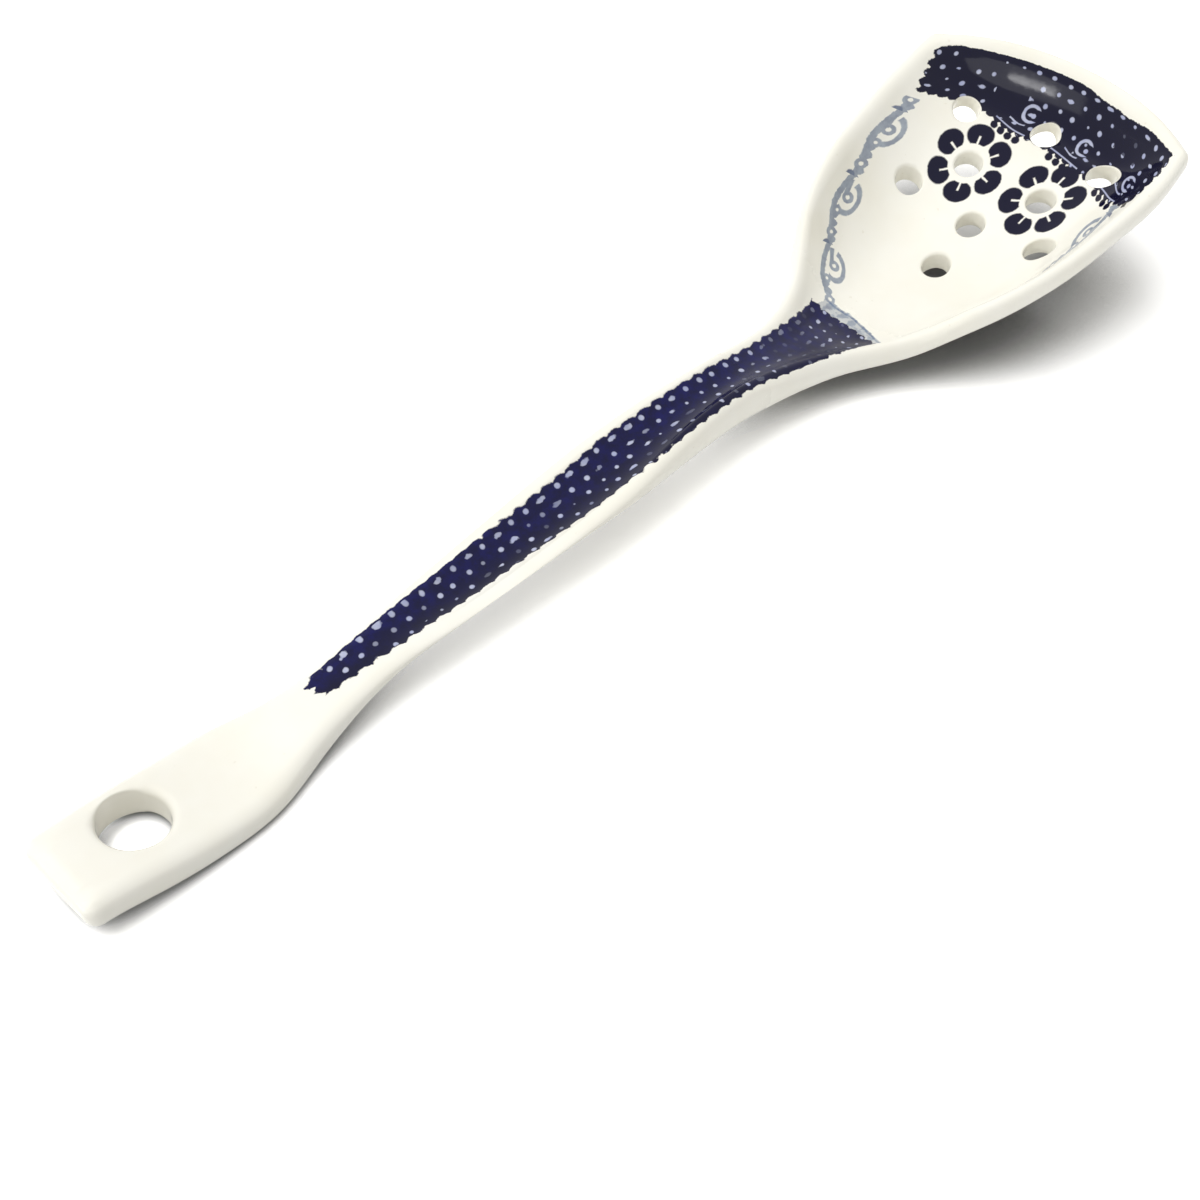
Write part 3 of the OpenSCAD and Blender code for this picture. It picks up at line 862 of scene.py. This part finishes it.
# Scroll stamps, each with a short ribbon, and between them a fringe of beads below a hem line
STAMPS = [(6.6, 14.8), (-11.0, 16.4), (-30.4, 15.8)]
STAMP_PITCH, BEAD_PITCH, BEAD_RUN, FRINGE_END = 17.6, 2.45, 9.8, 16.0


def stamp(cx, cy):
    ring = lowest(stroke_at(a_mm, f_mm, cx, cy, 2.05, 0.4), highest(a_mm - cx + 0.75, absolute(f_mm - cy) - 1.5))
    tip = round_at(a_mm, f_mm, cx - 0.7, cy + 0.3, 0.62)
    ribbon_in = f_mm - cy - 2.9 - 0.75 * calc("SINE", (a_mm - cx) * 0.62 + 0.9)
    return highest(ring, tip, lowest(0.22 - absolute(ribbon_in), 2.4 - absolute(a_mm - cx - 2.2)))


stamps = highest(*[stamp(cx, cy) for cx, cy in STAMPS]) + smear * 0.3
fringe = wrapped(a_mm + 13.4, STAMP_PITCH)
fringe_line = f_mm - inner_line + 0.05 * fringe
fringe_limits = (BEAD_RUN - fringe, FRINGE_END - a_mm)
bead_x = wrapped(fringe, BEAD_PITCH) - BEAD_PITCH / 2
bead = 1.06 - length(bead_x, fringe_line - 1.45) + ragged * 0.5
stalk = lowest(0.42 - absolute(bead_x), 1.2 - absolute(f_mm - inner_line))
beads = lowest(highest(bead, stalk), d_mm - 5.0, fringe, *fringe_limits)
hem = lowest(0.19 - absolute(fringe_line + 0.75), *fringe_limits)

# Two rosettes round the middle pair of drain holes
PETALS = 6
PETAL_MID, PETAL_START, SLIT_END = 7.5, 5.2, 7.3
PETAL_LONG, PETAL_WIDE = 8.4, 12.6  # squared half axes


def rosette(cx, cy, turn):
    """Petals with a slit each; turn is in petals."""
    dx, dy = plan_x - cx, plan_y - cy
    r = length(dx, dy)
    around = calc("ARCTAN2", dy, dx) * (PETALS / (2 * math.pi)) + turn
    angle = (calc("FRACT", around + 100.0) - 0.5) * (2 * math.pi / PETALS)
    px, py = r * calc("COSINE", angle), r * calc("SINE", angle)
    leaf = (1.0 - calc("SQRT", squared(px - PETAL_MID) / PETAL_LONG + squared(py) / PETAL_WIDE)) * 2.6
    gap = r * (math.pi / PETALS) - absolute(angle) * r - 0.36
    slit = highest(absolute(py) - 0.24, px - SLIT_END)
    return lowest(leaf, gap, slit, r - PETAL_START) + ragged * 0.35


pair_x = MOUTH_X + BOWL_LEN * PAIR_SHARE
rosettes = highest(rosette(pair_x, PAIR_Y, 0.2), rosette(pair_x, -PAIR_Y, 0.62))
cobalt = highest(band, front, beads, rosettes)

# Pale running scroll along the inner walls. In one unit of it, u runs back from the front and w inwards; the stem
# and what sits on it drift inwards besides.
SCROLL_PITCH, SCROLL_START, UNIT_FRONT = 22.8, 31.5, 6.6
back = f_mm - SCROLL_START
u = wrapped(back + UNIT_FRONT, SCROLL_PITCH) - UNIT_FRONT
w = d_mm - (8.1 + 0.11 * back + 0.0009 * squared(back))
stem_w = w + 0.048 * back
stem_side = stem_w + 0.95 * calc("COSINE", (u - 2.5) * (2 * math.pi / SCROLL_PITCH)) + 1.3
stem = lowest(1.05 + stem_side, 0.95 + 1.05 * mirror_wave(u, 2.6) * ramp(u, 3.6, 5.0) - stem_side) + ragged * 0.8
knot = 1.4 - 1.4 * calc("SQRT", squared(u - 17.0) / 4.6 + squared(stem_w + 1.6) / 2.4)
hook = highest(stroke_at(u, w, 0.0, 0.0, 1.25, 0.55), lowest(0.75 - absolute(w + 0.9), 2.6 - absolute(u + 3.0)))
outer_arc = lowest(stroke_at(u, w, 0.2, 0.0, 3.3, 0.62, 1.42), w + 0.8 + 0.4 * u)
lumps = highest(round_at(u, stem_w, 5.0, -0.7, 1.6), round_at(u, stem_w, 12.2, -0.5, 1.75))
eyes = highest(round_at(u, w, 0.0, 0.0, 0.55), round_at(u, stem_w, 4.9, -0.6, 0.55),
               round_at(u, stem_w, 12.2, -0.4, 0.62))
scroll = lowest(highest(stem, knot, hook, outer_arc, lumps), 0.0 - eyes) + ragged * 0.5
border = lowest(scroll, f_mm - 20.0, s_mm - 227.0, highest(a_mm, 62.0 - f_mm))

# Pale strip across the mouth of the bowl, with a line along its far side
mouth_in = s_mm - (228.4 - 0.018 * squared(a_mm - 6.0) + 1.2 * coarse)
mouth = lowest(0.3 + ragged * 0.9 - mouth_in, mouth_in + 8.0, 10.6 - a_mm + ragged * 2.0,
               a_mm + 10.0 + ragged * 2.0, s_mm - 219.0)
mouth_line = 0.3 - absolute(mouth_in + 0.3)
mouth_fill = ramp(noise(place, 520.0, 2.0, 0.6, 51.0) + 0.1 * calc("SINE", a_mm * 1.7), 0.42, 0.6)

on_top = ramp(face_share, 0.35, 0.6)
cobalt_mask = shown(cobalt) * on_top
pale_on_cobalt = highest(shown(lowest(band_dots, band - 0.3)) * dot_fade,
                         shown(lowest(front_dots, front - 0.4)) * front_keep,
                         shown(lowest(stamps, front - 0.1), STAMP_EDGE),
                         shown(lowest(hem, front + 0.6), STAMP_EDGE))
pale_mask = highest(shown(border) * (0.86 + 0.14 * shown(knot)),
                    shown(mouth) * (0.5 + 0.35 * mouth_fill + 0.4 * shown(mouth_line)))
pale_mask = pale_mask * on_top * (1 - shown(cobalt))

patch = noise(place, 46.0, 3.0, 0.6, 11.0)
fine = noise(place, 380.0, 4.0, 0.65, 21.0)
cream = mixed(ramp(patch, 0.3, 0.7), linear(*CREAM), linear(*CREAM_PATCH))
specks = ramp(noise(place, 700.0, 0.0, 0.5, 31.0), 0.80, 0.85) * 0.18
cream = mixed(specks, cream, linear(*SPECK))
blue = mixed(ramp(fine, 0.35, 0.68), linear(*COBALT), linear(*COBALT_BRIGHT))
# a darker blue: painted shade over the near half of the handle's band, where its hollow turns away from the
# light, and also over the bowl and in random patches
deep_and_shaded = highest(ramp(width / (band_left - near_edge), 0.25, 0.85) * 0.75, ramp(s_mm, 225.0, 240.0),
               ramp(patch, 0.45, 0.75) * 0.5)
blue = mixed(deep_and_shaded, blue, linear(*COBALT_DEEP_AND_SHADED))
pale_dot = mixed(ramp(fine, 0.3, 0.7), linear(*DOT_PALE), linear(*DOT_BLUE))
blue = mixed(pale_on_cobalt * (0.85 + 0.2 * fine), blue, pale_dot)
slate = mixed(ramp(fine, 0.35, 0.7), linear(*SLATE), linear(*SLATE_PALE))
slate = mixed(shown(knot) * 0.6, slate, linear(*SLATE_KNOT))
colour = mixed(pale_mask * 0.94, cream, slate)
colour = mixed(cobalt_mask, colour, blue)

# The glaze, which is rougher round the neck, where its steep hollow would mirror its own rim
ROUGH, ROUGH_UNEVEN, ROUGH_NECK = 0.07, 0.06, 0.24
GLAZE_IOR = 1.33
WAVE, WAVE_FINE, PAINT_DIP = 0.8, 0.1, 0.05  # shares of the bump's height
BUMP_STRENGTH, BUMP_HEIGHT = 0.3, 0.0004
shader = node("ShaderNodeBsdfPrincipled")
tree.links.new(colour, shader.inputs["Base Color"])
at_neck = ramp(s_mm, 172.0, 190.0) * ramp(s_mm, 242.0, 224.0)
plug(shader.inputs["Roughness"], ROUGH + ROUGH_UNEVEN * ramp(fine, 0.4, 0.8) + ROUGH_NECK * at_neck)
shader.inputs["IOR"].default_value = GLAZE_IOR
bump = node("ShaderNodeBump")
bump.inputs["Strength"].default_value = BUMP_STRENGTH
bump.inputs["Distance"].default_value = BUMP_HEIGHT
plug(bump.inputs["Height"], noise(place, 60.0, 2.0, 0.5, 41.0) * WAVE
     + noise(place, 260.0, 2.0, 0.5, 43.0) * WAVE_FINE - cobalt_mask * PAINT_DIP)
tree.links.new(bump.outputs["Normal"], shader.inputs["Normal"])
output = node("ShaderNodeOutputMaterial")
tree.links.new(shader.outputs[0], output.inputs["Surface"])
for piece in pieces.values():
    piece.data.materials.append(material)

# Floor: white where it is seen, but for the spoon's shadow, which painted shade deepens near the spoon, and with
# painted pools of light below the hanging hole and the drain holes. For the light that it throws back it is grey,
# darker by the grip and lighter by the bowl.
FLOOR_HALF = 3.0
NEAR_REACH, WIDE_REACH = 0.06, 0.14  # how far off the spoon the floor gets painted shade: close by, and round the bowl
LEVEL, LEVEL_BY_BOWL = 1.82, 0.3
DARKEST, SPREAD_DARK, MIRRORED_DARK = 0.15, 0.34, 0.2
BELOW_BOWL = (0.132, 0.006)  # centre of the painted pool of light below the drain holes, in metres
HOLE_LIGHT, BELOW_LIGHT = 0.35, 0.75
BOUNCE, BOUNCE_HANDLE, BOUNCE_BOWL = 0.6, 0.25, 0.13

floor_mesh = bpy.data.meshes.new("floor")
floor_mesh.from_pydata([(-FLOOR_HALF, -FLOOR_HALF, 0), (FLOOR_HALF, -FLOOR_HALF, 0), (FLOOR_HALF, FLOOR_HALF, 0),
                        (-FLOOR_HALF, FLOOR_HALF, 0)], [], [(0, 1, 2, 3)])
floor = add("floor", floor_mesh)
ground = bpy.data.materials.new("pale_ground")
ground.use_nodes = True
tree = ground.node_tree
tree.nodes.clear()


def seen_plainly():
    """The rays that show the background: the camera's, and those that glaze mirrors or lets through."""
    path = node("ShaderNodeLightPath")
    return path, highest(*[Val(path.outputs[name]) for name in (
        "Is Camera Ray", "Is Glossy Ray", "Is Transmission Ray")])


def occlusion(reach, samples):
    n = node("ShaderNodeAmbientOcclusion", samples=samples)
    n.inputs["Distance"].default_value = reach
    return Val(n.outputs["AO"])


floor_x, floor_y, _ = parts(node("ShaderNodeTexCoord").outputs["Object"])
# painted pools of light on the floor: where it shows through the hanging hole, and below the drain holes
through_hole = ramp(length(floor_x - (HANG_X - ORIGIN_X) * MM, floor_y - HANG_Y * MM), 0.0095, 0.003)
under_bowl = ramp(length(floor_x - BELOW_BOWL[0], floor_y - BELOW_BOWL[1]), 0.026, 0.008) * BELOW_LIGHT
lit = highest(through_hole, under_bowl)
# painted shade on the floor: darker where an occlusion node finds the spoon close by, and more so round the bowl
by_bowl = ramp(floor_x, 0.045, 0.1)
open_near = ramp(occlusion(NEAR_REACH, 28), 0.18 + 0.1 * by_bowl, 0.68 + 0.09 * by_bowl)
contact = DARKEST + (1 - DARKEST) * open_near
spread_out = 1 - SPREAD_DARK * by_bowl * (1 - ramp(occlusion(WIDE_REACH, 12), 0.5, 0.92))
path, seen = seen_plainly()
tone = (LEVEL - LEVEL_BY_BOWL * by_bowl) * highest(contact, lit) * highest(spread_out, lit)
tone = tone * (1 + HOLE_LIGHT * through_hole) * (1 - MIRRORED_DARK * Val(path.outputs["Is Glossy Ray"]))
# a little warmer or cooler with the depth of the shadow
tinted = joined(tone * (0.97 + 0.03 * contact), tone * (0.98 + 0.02 * contact), tone * (1.02 - 0.02 * contact))
bounce = BOUNCE + BOUNCE_HANDLE * ramp(floor_x, -0.12, -0.01) + BOUNCE_BOWL * ramp(floor_x, 0.02, 0.08)
soft_white = node("ShaderNodeBsdfDiffuse")
tree.links.new(mixed(seen, joined(bounce, bounce, bounce), tinted), soft_white.inputs["Color"])
output = node("ShaderNodeOutputMaterial")
tree.links.new(soft_white.outputs[0], output.inputs["Surface"])
floor_mesh.materials.append(ground)

# World: white where it is seen, dimmer as a light
WORLD_LIGHT = 0.45
world = bpy.data.worlds.new("studio")
bpy.context.scene.world = world
world.use_nodes = True
tree = world.node_tree
tree.nodes["Background"].inputs["Color"].default_value = (1, 1, 1, 1)
_, seen = seen_plainly()
plug(tree.nodes["Background"].inputs["Strength"], WORLD_LIGHT + (1 - WORLD_LIGHT) * seen)

# Lamps
# azimuth, elevation and spread in degrees, and power
SUNS = {"key": (112, 68, 62, 0.58), "fill": (-80, 36, 50, 0.07)}
# azimuth, elevation, width, height and roll in degrees, and radiance
CARDS = {"wall": (175, 7.5, 52, 13, 13, 1.4), "window": (169, 5.6, 19, 4.2, 4, 12.5)}
CARD_AIM, CARD_FAR = Vector((0.147, 0.0, 0.033)), 1.5


def heading_to(azimuth, elevation):
    az, el = math.radians(azimuth), math.radians(elevation)
    return Vector((math.cos(el) * math.cos(az), math.cos(el) * math.sin(az), math.sin(el)))


def sun(name, azimuth, elevation, spread, power):
    """Soft light from all round one heading."""
    data = bpy.data.lights.new(name, "SUN")
    data.angle = math.radians(spread)
    data.energy = power * math.pi
    lamp = add(name, data)
    lamp.rotation_euler = heading_to(azimuth, elevation).to_track_quat("Z", "Y").to_euler()
    lamp.visible_glossy = False


def card(name, azimuth, elevation, wide, high, roll, radiance):
    """A bright panel behind the grip, which the glaze of the front band mirrors."""
    data = bpy.data.lights.new(name, "AREA")
    data.shape = "RECTANGLE"
    data.size = 2 * CARD_FAR * math.tan(math.radians(wide / 2))
    data.size_y = 2 * CARD_FAR * math.tan(math.radians(high / 2))
    data.energy = radiance * math.pi * data.size * data.size_y
    lamp = add(name, data)
    heading = heading_to(azimuth, elevation)
    lamp.location = CARD_AIM + CARD_FAR * heading
    lamp.rotation_euler = (heading.to_track_quat("Z", "Y") @ Quaternion((0, 0, 1), math.radians(roll))).to_euler()
    lamp.visible_camera = False


for name, values in SUNS.items():
    sun(name, *values)
for name, values in CARDS.items():
    card(name, *values)

# Camera of the photograph, fitted to the spoon's outline in it. Place and distance are in millimetres, angles in
# radians, and the focal length in pixels of a picture that is IMAGE_W pixels wide.
TARGET_X, TARGET_Y, DISTANCE = 123.88 - ORIGIN_X, -15.66, 377.46
HEADING, DIP, ROLL = 0.790563, 0.844292, -0.005013
FOCAL, IMAGE_W, SENSOR_W = 1772.48, 1200, 36.0
ahead = Vector((math.cos(DIP) * math.cos(HEADING), math.cos(DIP) * math.sin(HEADING), -math.sin(DIP)))
level = Vector((math.sin(HEADING), -math.cos(HEADING), 0))
upward = level.cross(ahead)
right = math.cos(ROLL) * level + math.sin(ROLL) * upward
up = math.cos(ROLL) * upward - math.sin(ROLL) * level
spot = (Vector((TARGET_X, TARGET_Y, 0)) - DISTANCE * ahead) * MM
camera_data = bpy.data.cameras.new("camera")
camera_data.sensor_width = SENSOR_W
camera_data.lens = FOCAL / IMAGE_W * SENSOR_W
camera_data.clip_start = 0.01
camera = add("camera", camera_data)
camera.matrix_world = Matrix((
    (right.x, up.x, -ahead.x, spot.x), (right.y, up.y, -ahead.y, spot.y), (right.z, up.z, -ahead.z, spot.z),
    (0, 0, 0, 1)))
bpy.context.scene.camera = camera
bpy.context.scene.view_settings.view_transform = "Standard"
